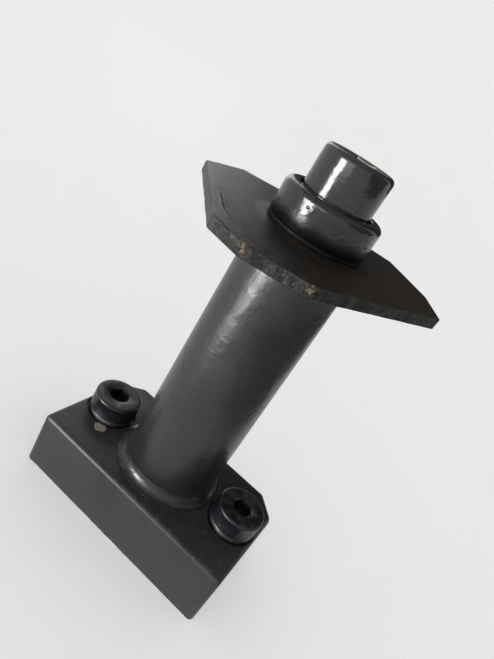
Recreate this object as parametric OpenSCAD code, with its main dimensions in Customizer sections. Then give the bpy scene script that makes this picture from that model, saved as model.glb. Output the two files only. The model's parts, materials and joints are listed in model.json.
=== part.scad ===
// Swivelling tool post. A block base carries a round column that can be swung to any
// angle and locked by two cap screws. A three-lobed tool plate turns on top of the
// column and is clamped there by a collar and one central cap screw.
//
// Millimetres. The origin is the mouth of the table thread, in the middle of the
// underside. +Z points up the column, -Y is the front, and one lobe of the plate
// points to the front.

/* [Base] */
// Thickness of the block over the column's foot flange
roof_h = 5; // [4:0.5:15]
// Wall of the block in front of and behind the flange's recess
side_wall = 1.2; // [1:0.1:12]
// Distance from the end of the block to a base screw's axis
screw_edge = 7.5; // [7.5:0.5:20]
// Bevel along the block's outer edges
base_bevel = 0.8; // [0.3:0.1:1.5]
// Length cut off the block's end and off its back by the flat across a back corner
back_cut = 6; // [1:0.5:7]
// Rim of the block left and right of the sole plate
sole_rim_l = 2; // [1.5:0.25:2.5]
// Rim of the block in front of and behind the sole plate
sole_rim_w = 3.5; // [2:0.5:4]
// Thickness of the sole plate let into the underside
sole_h = 7; // [6:0.5:12]
// Corner radius of the sole plate
sole_corner = 4; // [2:0.5:6]
// Radius of the table thread through the sole plate
table_thread_r = 5.1; // [4.2:0.1:7]
// Radius of the dowels that place the sole plate
dowel_r = 2; // [1:0.25:2.5]
// Length of a dowel inside the sole plate
dowel_deep = 3.5; // [3:0.5:5]
// Length of a dowel inside the block
dowel_up = 6.5; // [4:0.5:7.5]
// Angle of the dowels round the axis, from the screws' line
dowel_angle = 29; // [27:1:33]

/* [Column] */
// Outside diameter of the column tube
col_d = 25; // [21:0.5:36]
// Height of the column above the base block
col_rise = 70; // [50:1:160]
// How far the foot flange stands out from the tube
flange_lip = 3.5; // [2.5:0.25:5]
// Thickness of the foot flange
flange_h = 3; // [2:0.5:5]
// Thickness of the friction ring under the flange
friction_h = 1; // [0.5:0.5:1.5]
// How far the foot ring stands out from the tube
foot_lip = 2.3; // [1.5:0.1:4]
// Height of the foot ring
foot_h = 3.4; // [2:0.2:6]
// Thickness of the seal ring's section
seal_wire = 2; // [1.5:0.25:2.5]

/* [Base screws] */
// Diameter of the base screws' thread
screw_d = 8; // [6:1:10]
// Gap between the end of a base screw and the table
screw_end_gap = 1; // [0.5:0.5:3]
// Diameter of the base screws' heads
screw_head_d = 13; // [10:0.5:14]
// Height of the base screws' heads
screw_head_h = 5; // [4:0.5:8]
// Radius of the round along those heads' top edge
screw_round = 0.6; // [0.2:0.1:1]
// Width across the flats of the base screws' sockets
screw_key = 5; // [4:0.5:6]
// Depth of the base screws' sockets
screw_key_depth = 3; // [2:0.5:4]
// Width of the spring washers' section
lock_w = 2.3; // [1.5:0.1:2.8]
// Thickness of the spring washers
lock_h = 2; // [1.5:0.1:2.5]
// Gap across the split of a spring washer
lock_split = 1.2; // [0.6:0.2:2]
// Depth of the spot faces the spring washers sit in
spot_depth = 1; // [0.5:0.1:1.5]
// How far a spot face stands out round its screw's head
spot_margin = 0.45; // [0.3:0.05:1]
// Gap between the foot ring and a spot face
foot_gap = 0.75; // [0.5:0.05:3]

/* [Tool plate] */
// Distance from the axis to the tips of the lobes
lobe_r = 32; // [28:0.5:60]
// Thickness of the tool plate
plate_t = 3; // [2:0.5:10]
// Wall of the bush pressed into the tool plate
bush_wall = 1.45; // [1:0.05:2]
// Thickness of the thrust washer on the tool plate
thrust_t = 1; // [0.6:0.1:2]

/* [Clamp] */
// Diameter of the clamp collar
collar_d = 23; // [20:0.5:32]
// Height of the clamp collar
collar_h = 7.7; // [7:0.1:14]
// Radius of the round along the collar's top edge
collar_round = 1.4; // [0.5:0.1:2]
// Thickness of the collar's roof over the spigot
collar_roof = 2; // [1.5:0.1:4]
// Diameter of the clamp screw's thread
clamp_d = 10; // [8:1:12]
// Length of the clamp screw under the head
clamp_l = 35; // [28:1:60]
// Diameter of the clamp screw's head
clamp_head_d = 16; // [14:0.5:18]
// Height of the clamp screw's head
clamp_head_h = 10; // [6:0.5:14]
// Radius of the round along the clamp head's top edge
clamp_round = 1.2; // [0.5:0.1:2]
// Width across the flats of the clamp screw's socket
clamp_key = 8; // [6:0.5:9]
// Depth of the clamp screw's socket
clamp_key_depth = 5; // [3:0.5:7]
// Thickness of the washer under the clamp head
head_washer_t = 1; // [0.6:0.1:1.6]
// How far the clamp head is sunk into the collar
head_sink = 0.8; // [0:0.1:1]
// Radius of the pin that keeps the collar from turning
key_pin_r = 1; // [0.6:0.1:1.2]

/* [Head plug and spring] */
// Length of the head plug inside the tube
plug_l = 26; // [20:1:50]
// Step from the plug down to the spigot that guides the plate and the collar
spigot_step = 0.5; // [0.3:0.1:2]
// Wall of the spigot round the spring's pocket
spigot_wall = 1.6; // [1.4:0.1:3]
// Depth of the spring's pocket below the top of the tube
spring_sink = 6; // [4:0.5:12]
// Diameter of the spring's wire
spring_wire = 1; // [0.6:0.1:1.2]
// Number of turns in the spring
spring_turns = 5.5; // [3:0.5:8]
// Thickness of the washer under the spring
seat_t = 0.5; // [0.3:0.1:1]

/* [Fits] */
// Radial clearance of a running fit
run_gap = 0.05; // [0.02:0.01:0.1]
// Radial clearance of a hole round a screw that doesn't thread into it
pass_gap = 0.25; // [0.15:0.05:0.5]
// Gap between flat faces that slide over each other
face_gap = 0.02; // [0.01:0.01:0.05]
// Radial clearance of the recess round the foot flange
flange_gap = 0.3; // [0.2:0.1:0.5]
// Play of a washer round the part it's on, and of the pin in its groove
washer_play = 0.2; // [0.1:0.1:0.3]
// Gap round the clamp head where it's sunk in the collar
head_gap = 0.6; // [0.3:0.1:0.8]
// Gap between the spring and the clamp screw inside it
spring_clear = 0.35; // [0.2:0.05:0.5]
// Gap between the spring and its pocket
spring_bore_gap = 0.05; // [0.05:0.05:0.2]
// Gap between the end of the spigot and the roof of the collar
collar_roof_gap = 0.5; // [0.3:0.1:1]

/* [Hidden] */
$fn = 96;

// A cutter passes this far beyond the face it opens.
over = 1;
// Least wall left round a dowel, and least flat left beside a round edge
least_wall = 1.2;
least_flat = 0.3;

// Radii, from the clamp screw outwards
clamp_r = clamp_d / 2;
clamp_head_r = clamp_head_d / 2;
spring_mean_r = clamp_r + spring_clear + spring_wire / 2;
spring_bore_r = spring_mean_r + spring_wire / 2 + spring_bore_gap;
spigot_r = spring_bore_r + spigot_wall;
plug_r = spigot_r + spigot_step;
bush_r = spigot_r + run_gap + bush_wall;
collar_r = collar_d / 2;
head_pocket_r = clamp_head_r + head_gap;
col_r = col_d / 2;
flange_r = col_r + flange_lip;
recess_r = flange_r + flange_gap;
foot_r = col_r + foot_lip;

// Base screws and dowels, placed outside the foot ring and the flange's recess
screw_r = screw_d / 2;
screw_head_r = screw_head_d / 2;
lock_r = screw_r + run_gap + lock_w;
spot_r = max(screw_head_r, lock_r) + spot_margin;
screw_x = foot_r + foot_gap + spot_r;
dowel_ring_r = recess_r + least_wall + dowel_r;
base_l = 2 * (screw_x + screw_edge);
base_w = 2 * (recess_r + side_wall);
corner_cut = min(back_cut,
    sole_rim_l + sole_rim_w + (2 - sqrt(2)) * sole_corner - sqrt(2) * least_wall);

// Heights, from the underside up
flange_z = sole_h + friction_h;
ceiling_z = flange_z + flange_h;
base_h = ceiling_z + roof_h;
spot_z = base_h - spot_depth;
screw_head_z = spot_z + lock_h;
seal_z = (ceiling_z + base_h) / 2;
col_top = base_h + col_rise;
plate_top = col_top + plate_t;
collar_z = plate_top + thrust_t;
collar_top = collar_z + collar_h;
clamp_head_z = collar_top - head_sink;
washer_z = clamp_head_z - head_washer_t;
collar_roof_z = washer_z - collar_roof;
spigot_top = collar_roof_z - collar_roof_gap;
spring_z = col_top - spring_sink;

// Pin across the collar's wall: how high it sits in the collar, how deep its groove in the
// spigot is, and how far its ends stay inside the collar and out of the groove's floor
pin_lift = 1.2 * key_pin_r;
groove_depth = 1;
pin_gap = 0.1;

// Corners of the tool plate: angle round the axis, and how far each lies inside lobe_r.
// Three blunt lobes point front, right and left.
plate_corners = [[-108, 1.5], [-92, 0.5], [-66, 2], [12, 0], [34, 1], [65, 1],
    [131, 1.5], [151, -2], [178, 0]];

// Bore wall, drawn from height z up by h
module bore(r, z, h) {
    translate([0, 0, z]) cylinder(r = r, h = h);
}

// Flat ring from height z up by h
module ring(outer_r, inner_r, z, h) {
    difference() {
        bore(outer_r, z, h);
        bore(inner_r, z - over, h + 2 * over);
    }
}

// Hexagon hole with the given width across its flats
module hex_hole(across, z, h) {
    translate([0, 0, z]) cylinder(r = across / sqrt(3), h = h, $fn = 6);
}

// Round bar standing on z = 0 with a rounded top edge
module round_topped(r, h, edge) {
    rotate_extrude() union() {
        square([r - edge, h]);
        square([r, h - edge]);
        translate([r - edge, h - edge]) circle(r = edge);
    }
}

// Block with a bevel on every edge round its ends and its top, and a flat cut across each
// back corner
module bevelled_block(l, w, h, b, cut) {
    intersection() {
        translate([-l / 2, 0, 0]) rotate([90, 0, 90])
            linear_extrude(l) polygon(bevelled_face(w, h, b));
        translate([0, w / 2, 0]) rotate([90, 0, 0])
            linear_extrude(w) polygon(bevelled_face(l, h, b));
        linear_extrude(h) polygon([
            [b - l / 2, -w / 2], [l / 2 - b, -w / 2], [l / 2, b - w / 2], [l / 2, w / 2 - cut],
            [l / 2 - cut, w / 2], [cut - l / 2, w / 2], [-l / 2, w / 2 - cut],
            [-l / 2, b - w / 2]]);
    }
}

// Outline of a block's end: square below, bevelled above
function bevelled_face(w, h, b) =
    [[-w / 2, 0], [w / 2, 0], [w / 2, h - b], [w / 2 - b, h], [b - w / 2, h], [-w / 2, h - b]];

// Rectangle with round corners, centred on the axis
module round_rectangle(l, w, corner) {
    square([l - 2 * corner, w], center = true);
    square([l, w - 2 * corner], center = true);
    for (sx = [-1, 1], sy = [-1, 1])
        translate([sx * (l / 2 - corner), sy * (w / 2 - corner)]) circle(r = corner);
}

// The two dowel holes or dowels, on a diagonal
module at_dowels() {
    for (turn = [0, 180]) rotate([0, 0, dowel_angle + turn])
        translate([dowel_ring_r, 0, 0]) children();
}

module base_block() {
    color([0.22, 0.23, 0.23]) difference() {
        bevelled_block(base_l, base_w, base_h, base_bevel, corner_cut);
        // Pocket for the sole plate, then the flange's recess, then the column's bore
        translate([0, 0, -over]) linear_extrude(sole_h + over)
            round_rectangle(base_l - 2 * sole_rim_l, base_w - 2 * sole_rim_w, sole_corner);
        bore(recess_r, sole_h - over, friction_h + flange_h + over);
        bore(col_r + run_gap, sole_h, base_h);
        bore(col_r + 2 * run_gap + seal_wire, seal_z - seal_wire / 2, seal_wire);
        for (side = [-1, 1]) translate([side * screw_x, 0, 0]) {
            bore(screw_r + pass_gap, sole_h - over, base_h);
            bore(spot_r, spot_z, spot_depth + over);
        }
        at_dowels() bore(dowel_r, sole_h - over, dowel_up + over);
    }
}

module sole_plate() {
    color([0.35, 0.36, 0.37]) difference() {
        linear_extrude(sole_h) round_rectangle(base_l - 2 * sole_rim_l - 2 * run_gap,
            base_w - 2 * sole_rim_w - 2 * run_gap, sole_corner - run_gap);
        bore(table_thread_r, -over, sole_h + 2 * over);
        for (side = [-1, 1]) translate([side * screw_x, 0, 0])
            bore(screw_r + run_gap, -over, sole_h + 2 * over);
        at_dowels() bore(dowel_r, sole_h - dowel_deep, dowel_deep + over);
    }
}

module sole_dowels() {
    color([0.7, 0.71, 0.73]) at_dowels()
        bore(dowel_r, sole_h - dowel_deep, dowel_deep + dowel_up);
}

module friction_ring() {
    color([0.72, 0.55, 0.25]) ring(flange_r, plug_r, sole_h, friction_h);
}

module column_seal() {
    translate([0, 0, seal_z])
        color([0.05, 0.05, 0.05]) rotate_extrude()
            translate([col_r + 2 * run_gap + seal_wire / 2, 0]) circle(d = seal_wire);
}

module column_tube() {
    color([0.27, 0.29, 0.28]) ring(col_r, plug_r, flange_z, col_top - flange_z);
}

module foot_flange() {
    color([0.5, 0.51, 0.52])
        ring(flange_r, col_r, flange_z, flange_h - face_gap);
}

module foot_ring() {
    edge = min(0.5, foot_lip / 4);
    waist_z = 0.45 * foot_h;
    color([0.27, 0.29, 0.28]) translate([0, 0, base_h + face_gap]) rotate_extrude()
        polygon([[col_r, 0], [foot_r, 0], [foot_r, edge],
            [col_r + foot_lip / 2, waist_z], [col_r + edge / 2, foot_h], [col_r, foot_h]]);
}

module head_plug() {
    groove_w = 2 * key_pin_r + washer_play;
    color([0.55, 0.56, 0.57]) difference() {
        union() {
            bore(plug_r, col_top - plug_l, plug_l);
            bore(spigot_r, col_top - over, spigot_top - col_top + over);
        }
        bore(clamp_r + run_gap, col_top - plug_l - over, plug_l + over);
        bore(spring_bore_r, spring_z, spigot_top - spring_z + over);
        // Groove for the collar's pin, open at the top
        translate([-groove_w / 2, spigot_r - groove_depth, collar_z])
            cube([groove_w, spigot_r, spigot_top - collar_z + over]);
    }
}

module spring_seat() {
    color([0.7, 0.71, 0.73])
        ring(spring_bore_r - spring_bore_gap, clamp_r + run_gap, spring_z, seat_t);
}

// Coil of round wire, swept as one closed skin
module release_spring() {
    sides = 8;
    steps = 14 * spring_turns;
    wire_r = spring_wire / 2;
    low = spring_z + seat_t + wire_r;
    high = collar_roof_z - wire_r;
    points = [for (i = [0 : steps], j = [0 : sides - 1])
        let (turn = 360 * spring_turns * i / steps, side = 360 * j / sides,
            r = spring_mean_r + wire_r * cos(side))
        [r * cos(turn), r * sin(turn), low + (high - low) * i / steps + wire_r * sin(side)]];
    walls = [for (i = [0 : steps - 1], j = [0 : sides - 1])
        let (a = i * sides, b = a + sides, k = (j + 1) % sides) [a + j, b + j, b + k, a + k]];
    first = [for (j = [0 : sides - 1]) j];
    last = [for (j = [sides - 1 : -1 : 0]) steps * sides + j];
    color([0.6, 0.61, 0.63]) polyhedron(points, concat(walls, [first, last]), convexity = 10);
}

// Low-head cap screw, its thread ending just above the table
module base_screw() {
    head_top = screw_head_z + screw_head_h;
    color([0.08, 0.08, 0.09]) difference() {
        union() {
            bore(screw_r, screw_end_gap, screw_head_z - screw_end_gap + over);
            translate([0, 0, screw_head_z]) round_topped(screw_head_r, screw_head_h, screw_round);
        }
        hex_hole(screw_key, head_top - screw_key_depth, screw_key_depth + over);
    }
}

module base_screw_left() {
    translate([-screw_x, 0, 0]) base_screw();
}

module base_screw_right() {
    translate([screw_x, 0, 0]) base_screw();
}

// Split ring that stays under its screw's head
module spring_washer() {
    color([0.5, 0.51, 0.52]) difference() {
        ring(lock_r, screw_r + run_gap, spot_z, lock_h);
        translate([0, -lock_split / 2, spot_z - over])
            cube([lock_r + over, lock_split, lock_h + 2 * over]);
    }
}

module spring_washer_left() {
    translate([-screw_x, 0, 0]) spring_washer();
}

module spring_washer_right() {
    translate([screw_x, 0, 0]) spring_washer();
}

// Triangle with three blunt lobes, each ended by short edges
module tool_plate() {
    outline = [for (corner = plate_corners)
        (lobe_r - corner[1]) * [cos(corner[0]), sin(corner[0])]];
    color([0.16, 0.14, 0.13]) difference() {
        translate([0, 0, col_top]) linear_extrude(plate_t) polygon(outline);
        bore(bush_r, col_top - over, plate_t + 2 * over);
    }
}

module plate_bush() {
    color([0.72, 0.5, 0.22]) ring(bush_r, spigot_r + run_gap, col_top, plate_t);
}

module thrust_washer() {
    color([0.12, 0.12, 0.12])
        ring(collar_r, spigot_r + washer_play, plate_top, thrust_t - face_gap);
}

module clamp_collar() {
    edge = min(collar_round, collar_r - head_pocket_r - least_flat);
    color([0.27, 0.28, 0.28]) difference() {
        translate([0, 0, collar_z]) round_topped(collar_r, collar_h, edge);
        bore(spigot_r + run_gap, collar_z - over, collar_roof_z - collar_z + over);
        bore(clamp_r + pass_gap, collar_z, collar_h);
        bore(head_pocket_r, washer_z, collar_h);
        translate([0, 0, collar_z + pin_lift]) rotate([-90, 0, 0])
            cylinder(r = key_pin_r, h = collar_d);
    }
}

module collar_pin() {
    inner = spigot_r - groove_depth + 2 * pin_gap;
    color([0.7, 0.71, 0.73]) translate([0, inner, collar_z + pin_lift])
        rotate([-90, 0, 0]) cylinder(r = key_pin_r, h = collar_r - pin_gap - inner);
}

module head_washer() {
    color([0.6, 0.61, 0.62]) ring(clamp_head_r, clamp_r + washer_play, washer_z, head_washer_t);
}

module clamp_screw() {
    color([0.28, 0.29, 0.3]) difference() {
        union() {
            bore(clamp_r, clamp_head_z - clamp_l, clamp_l + over);
            translate([0, 0, clamp_head_z])
                round_topped(clamp_head_r, clamp_head_h, clamp_round);
        }
        hex_hole(clamp_key, clamp_head_z + clamp_head_h - clamp_key_depth, clamp_key_depth + over);
    }
}

base_block();
sole_plate();
sole_dowels();
friction_ring();
column_seal();
column_tube();
foot_flange();
foot_ring();
head_plug();
spring_seat();
release_spring();
base_screw_left();
base_screw_right();
spring_washer_left();
spring_washer_right();
tool_plate();
plate_bush();
thrust_washer();
clamp_collar();
collar_pin();
head_washer();
clamp_screw();
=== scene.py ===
"""Swivelling tool post: a block base, a round column, and a flame-cut tool plate
held down by a clamp collar and a cap screw."""
import json
import math

import bmesh
import bpy
import mathutils
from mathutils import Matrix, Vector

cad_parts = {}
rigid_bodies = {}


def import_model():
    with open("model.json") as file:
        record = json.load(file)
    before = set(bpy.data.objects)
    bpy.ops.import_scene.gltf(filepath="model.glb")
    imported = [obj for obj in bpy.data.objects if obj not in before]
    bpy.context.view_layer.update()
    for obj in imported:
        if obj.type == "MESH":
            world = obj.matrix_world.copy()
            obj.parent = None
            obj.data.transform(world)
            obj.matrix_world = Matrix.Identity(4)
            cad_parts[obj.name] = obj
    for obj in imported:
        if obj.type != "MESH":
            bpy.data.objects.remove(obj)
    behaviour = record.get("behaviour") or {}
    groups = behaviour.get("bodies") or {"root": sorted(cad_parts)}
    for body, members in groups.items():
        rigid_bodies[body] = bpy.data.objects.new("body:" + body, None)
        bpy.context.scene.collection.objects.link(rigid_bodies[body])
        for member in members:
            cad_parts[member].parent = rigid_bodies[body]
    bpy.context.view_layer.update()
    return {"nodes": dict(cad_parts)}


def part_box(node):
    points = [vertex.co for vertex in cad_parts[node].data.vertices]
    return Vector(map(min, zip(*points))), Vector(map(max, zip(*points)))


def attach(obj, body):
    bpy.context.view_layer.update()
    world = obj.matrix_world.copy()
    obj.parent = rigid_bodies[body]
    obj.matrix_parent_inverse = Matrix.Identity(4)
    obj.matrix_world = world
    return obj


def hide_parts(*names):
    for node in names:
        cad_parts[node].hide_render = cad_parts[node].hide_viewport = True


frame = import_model()


# Camera
# A short lens close to the post and a little above it, leaning well over to one side.
# It looks at a point on the column, a shade off the axis.
camera_azimuth = math.radians(15.75)
camera_elevation = math.radians(24.78)
camera_roll = math.radians(32.1)
camera_distance = 0.12274
look_height = 0.06219
look_aside = -0.00157
camera_data = bpy.data.cameras.new("camera")
camera_data.lens = 28.68
camera_data.clip_start = 0.002
camera = bpy.data.objects.new("camera", camera_data)
bpy.context.scene.collection.objects.link(camera)
ahead = mathutils.Vector((-math.sin(camera_azimuth) * math.cos(camera_elevation),
                          math.cos(camera_azimuth) * math.cos(camera_elevation),
                          -math.sin(camera_elevation)))
level = mathutils.Vector((math.cos(camera_azimuth), math.sin(camera_azimuth), 0))
upright = level.cross(ahead)
right = level * math.cos(camera_roll) + upright * math.sin(camera_roll)
up = upright * math.cos(camera_roll) - level * math.sin(camera_roll)
facing = mathutils.Matrix((right, up, -ahead)).transposed().to_4x4()
place = mathutils.Vector((0, 0, look_height)) + level * look_aside - ahead * camera_distance
camera.matrix_world = mathutils.Matrix.Translation(place) @ facing
bpy.context.scene.camera = camera


# Studio
# The post stands on a pale floor that sweeps up all round into a pale wall, so that no
# horizon shows. Soft lights stand low in front, and cards give the gloss its darks.
def turned(name, rings, sides, closed=True):
    """A ring at the first (radius, height), drawn on through the others, then closed on
    itself, or else filled at both ends."""
    bpy.ops.object.select_all(action="DESELECT")
    radius, height = rings[0]
    bpy.ops.mesh.primitive_circle_add(vertices=sides, radius=radius, location=(0, 0, height),
                                      fill_type="NOTHING" if closed else "NGON")
    piece = bpy.context.object
    piece.name = name
    bpy.ops.object.transform_apply(location=True, rotation=True, scale=True)
    bpy.ops.object.mode_set(mode="EDIT")
    bpy.ops.mesh.select_mode(type="EDGE")
    bpy.ops.mesh.select_all(action="SELECT")
    for next_radius, next_height in rings[1:] + (rings[:1] if closed else []):
        step = next_height - height
        bpy.ops.mesh.extrude_edges_move(TRANSFORM_OT_translate={"value": (0, 0, step)})
        grow = next_radius / radius
        bpy.ops.transform.resize(value=(grow, grow, 1), center_override=(0, 0, next_height))
        radius, height = next_radius, next_height
    if not closed:
        bpy.ops.mesh.edge_face_add()
    bpy.ops.mesh.select_all(action="SELECT")
    bpy.ops.mesh.remove_doubles(threshold=1e-6)
    bpy.ops.mesh.normals_make_consistent(inside=False)
    bpy.ops.object.mode_set(mode="OBJECT")
    return piece


def new_material(name):
    """A material with its node tree and its Principled shader."""
    material = bpy.data.materials.new(name)
    material.use_nodes = True
    return material, material.node_tree, material.node_tree.nodes["Principled BSDF"]


def put(tree, kind, inputs, **settings):
    """A node of that kind; an input that is a socket is linked, any other is set."""
    node = tree.nodes.new("ShaderNode" + kind)
    for setting, value in settings.items():
        setattr(node, setting, value)
    for key, value in inputs.items():
        if isinstance(value, bpy.types.NodeSocket):
            tree.links.new(value, node.inputs[key])
        else:
            node.inputs[key].default_value = value
    return node


def blended(tree, amount, colour, other):
    """Colour where amount is 0, other where it is 1."""
    return put(tree, "Mix", {0: amount, 6: colour, 7: other}, data_type="RGBA").outputs[2]


def faded(tree, value, start, end, low=0.0, high=1.0):
    """Low where value is at start, high where it is at end, smooth between."""
    return put(tree, "MapRange", {"Value": value, "From Min": start, "From Max": end,
                                  "To Min": low, "To Max": high},
               interpolation_type="SMOOTHSTEP").outputs["Result"]


def times(tree, value, other):
    """The two values multiplied."""
    return put(tree, "Math", {0: value, 1: other}, operation="MULTIPLY").outputs[0]


def plus(tree, value, other):
    """The two values added."""
    return put(tree, "Math", {0: value, 1: other}, operation="ADD").outputs[0]


floor_paint, tree, shader = new_material("floor_paint")
spread = put(tree, "TexNoise", {"Vector": put(tree, "TexCoord", {}).outputs["Object"],
                                "Scale": 40.0, "Detail": 4.0})
tree.links.new(blended(tree, spread.outputs["Fac"], (0.80, 0.80, 0.79, 1), (0.84, 0.84, 0.83, 1)),
               shader.inputs["Base Color"])
shader.inputs["Roughness"].default_value = 0.75
shader.inputs["Specular IOR Level"].default_value = 0.2
shader.inputs["Emission Color"].default_value = (1.0, 1.0, 0.99, 1)
shader.inputs["Emission Strength"].default_value = 0.33
flat_r = 0.5
sweep_out = 1.4
sweep_up = 1.9
sweep = [(flat_r + sweep_out * math.sin(a), sweep_up * (1 - math.cos(a)))
         for a in [math.radians(d) for d in range(0, 91, 6)]]
floor = turned("floor", sweep, 96, closed=False)
# The top is left open, and the faces are turned inwards
bpy.ops.object.mode_set(mode="EDIT")
mesh = bmesh.from_edit_mesh(floor.data)
for face in mesh.faces:
    face.select_set(face.calc_center_median().z > sweep[-1][1] - 1e-4)
bpy.ops.mesh.delete(type="FACE")
bpy.ops.mesh.select_all(action="SELECT")
bpy.ops.mesh.flip_normals()
bpy.ops.object.mode_set(mode="OBJECT")
bpy.ops.object.shade_smooth()
floor.data.materials.append(floor_paint)

world = bpy.data.worlds.new("studio")
bpy.context.scene.world = world
world.use_nodes = True
world.node_tree.nodes["Background"].inputs["Color"].default_value = (0.97, 0.98, 1, 1)
world.node_tree.nodes["Background"].inputs["Strength"].default_value = 0.38
bpy.context.scene.view_settings.view_transform = "Standard"

# The lamps leave the floor alone, so that it stays evenly pale from every side.
unlit = bpy.data.collections.new("unlit_by_lamps")
unlit.objects.link(floor)
unlit.collection_objects[0].light_linking.link_state = "EXCLUDE"


def soft_light(name, place, aim, width, height, power):
    """A rectangular lamp at place, facing aim, that the camera doesn't see."""
    bpy.ops.object.light_add(type="AREA", location=place)
    lamp = bpy.context.object
    lamp.light_linking.receiver_collection = unlit
    lamp.name = name
    lamp.data.shape = "RECTANGLE"
    lamp.data.size = width
    lamp.data.size_y = height
    lamp.data.energy = power
    way = mathutils.Vector(aim) - mathutils.Vector(place)
    lamp.rotation_euler = way.to_track_quat("-Z", "Y").to_euler()
    lamp.visible_camera = False


# Key light low in front on the left, a strip lying by the floor and facing up on the same
# side, and a broad fill further off.
soft_light("key_light", (-0.205, -0.365, 0.085), (0, 0, 0.085), 0.13, 0.165, 1.75)
soft_light("floor_strip", (-0.125, -0.225, 0.002), (-0.125, -0.2249, 1.0), 0.05, 0.20, 0.32)
soft_light("front_fill", (-0.25, -0.85, 0.25), (0, 0, 0.05), 0.8, 0.4, 2.4)


def mirrored_card(name, place, aim, width, height, material):
    """A card that shows only in what the post's surfaces mirror."""
    bpy.ops.object.select_all(action="DESELECT")
    bpy.ops.mesh.primitive_plane_add(size=1, location=place)
    card = bpy.context.object
    card.name = name
    card.scale = (width, height, 1)
    way = mathutils.Vector(aim) - mathutils.Vector(place)
    card.rotation_euler = way.to_track_quat("Z", "Y").to_euler()
    card.data.materials.append(material)
    card.visible_camera = False
    card.visible_diffuse = False
    card.visible_shadow = False


def card_paint(name, glow):
    """Black card that gives off a little light of its own."""
    material, tree, shader = new_material(name)
    shader.inputs["Base Color"].default_value = (0.01, 0.01, 0.01, 1)
    shader.inputs["Specular IOR Level"].default_value = 0.0
    shader.inputs["Emission Color"].default_value = (1.0, 1.0, 1.0, 1)
    shader.inputs["Emission Strength"].default_value = glow
    return material


# Dark cards behind and to the right and flat on the floor at the right; a white one left.
card_black = card_paint("card_black", 0.04)
card_grey = card_paint("card_grey", 0.16)
card_white, tree, shader = new_material("card_white")
shader.inputs["Emission Color"].default_value = (1.0, 0.99, 0.96, 1)
shader.inputs["Emission Strength"].default_value = 0.95
mirrored_card("card_behind", (0.06, 0.80, 0.62), (0, 0, 0.62), 0.84, 1.16, card_black)
mirrored_card("card_right", (0.85, 0.12, 0.50), (0, 0, 0.50), 1.3, 1.0, card_grey)
mirrored_card("card_near", (0.36, -0.12, 0.001), (0.36, -0.12, 1), 0.60, 0.36, card_grey)
mirrored_card("card_far", (0.45, 0.33, 0.001), (0.45, 0.33, 1), 0.70, 0.54, card_grey)
mirrored_card("card_left", (-0.45, 0.58, 0.33), (0, 0, 0.09), 0.22, 0.62, card_white)


# Base block
# A thick length of flat steel bar, its edges rounded and its two back corners cut off,
# bored for the column and pocketed underneath for the sole plate, brushed over with grey
# enamel.
def pick(kind, wanted):
    """In edit mode, selects the edges or faces whose middle is wanted, and no others."""
    bpy.ops.mesh.select_mode(type=kind)
    bpy.ops.mesh.select_all(action="DESELECT")
    mesh = bmesh.from_edit_mesh(bpy.context.object.data)
    for element in mesh.edges if kind == "EDGE" else mesh.faces:
        middle = sum((v.co for v in element.verts), mathutils.Vector()) / len(element.verts)
        if wanted(middle):
            element.select_set(True)
    mesh.select_flush_mode()
    bmesh.update_edit_mesh(bpy.context.object.data)


def brick(name, low, high):
    """A block between two corners, left in edit mode."""
    bpy.ops.object.select_all(action="DESELECT")
    bpy.ops.mesh.primitive_cube_add(size=1, location=[(a + b) / 2 for a, b in zip(low, high)])
    piece = bpy.context.object
    piece.name = name
    bpy.ops.transform.resize(value=[b - a for a, b in zip(low, high)])
    bpy.ops.object.transform_apply(location=True, rotation=True, scale=True)
    bpy.ops.object.mode_set(mode="EDIT")
    return piece


def finish_with(piece, kind, **settings):
    """Adds a modifier to the piece and applies it."""
    bpy.ops.object.select_all(action="DESELECT")
    bpy.context.view_layer.objects.active = piece
    piece.select_set(True)
    bpy.ops.object.modifier_add(type=kind)
    modifier = piece.modifiers[-1]
    for setting, value in settings.items():
        setattr(modifier, setting, value)
    bpy.ops.object.modifier_apply(modifier=modifier.name)


def cut(piece, cutter):
    """Takes the cutter's shape out of the piece."""
    finish_with(piece, "BOOLEAN", operation="DIFFERENCE", solver="EXACT", object=cutter)
    bpy.data.objects.remove(cutter)


def moved(piece, x):
    """Moves a piece sideways, with its place kept in its mesh."""
    bpy.ops.object.select_all(action="DESELECT")
    bpy.context.view_layer.objects.active = piece
    piece.select_set(True)
    bpy.ops.transform.translate(value=(x, 0, 0))
    bpy.ops.object.transform_apply(location=True, rotation=True, scale=True)
    return piece


def smooth(piece, angle=32):
    """Shades the piece smooth, except where it turns by more than the angle."""
    bpy.ops.object.select_all(action="DESELECT")
    bpy.context.view_layer.objects.active = piece
    piece.select_set(True)
    bpy.ops.object.shade_smooth_by_angle(angle=math.radians(angle))


block_low, block_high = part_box("base_block")
sole_low, sole_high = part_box("sole_plate")
flange_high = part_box("foot_flange")[1]
column_low, column_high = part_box("column_tube")
screw_low, screw_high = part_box("base_screw_right")
lock_low, lock_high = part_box("spring_washer_right")
block_top = block_high.z
column_r = column_high.x
screw_x = (screw_low.x + screw_high.x) / 2
base_head_r = (screw_high.x - screw_low.x) / 2
block_round = 0.0013
block_foot_edge = 0.0003
pocket_gap = 0.00005
pocket_corner = 0.004
recess_gap = 0.0003
recess_roof_gap = 0.00002
spot_margin = 0.00045
spot_chamfer = 0.0002
base_screw_r = 0.004
screw_hole_gap = 0.00025
over = 0.001
near = 0.001
touch = 1e-6

# The flats across the back corners take off as much as they do in the frame's block
back_edge = [v.co.x for v in frame["nodes"]["base_block"].data.vertices
             if v.co.y > block_high.y - touch]
corner_cut = block_high.x - max(back_edge)

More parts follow.
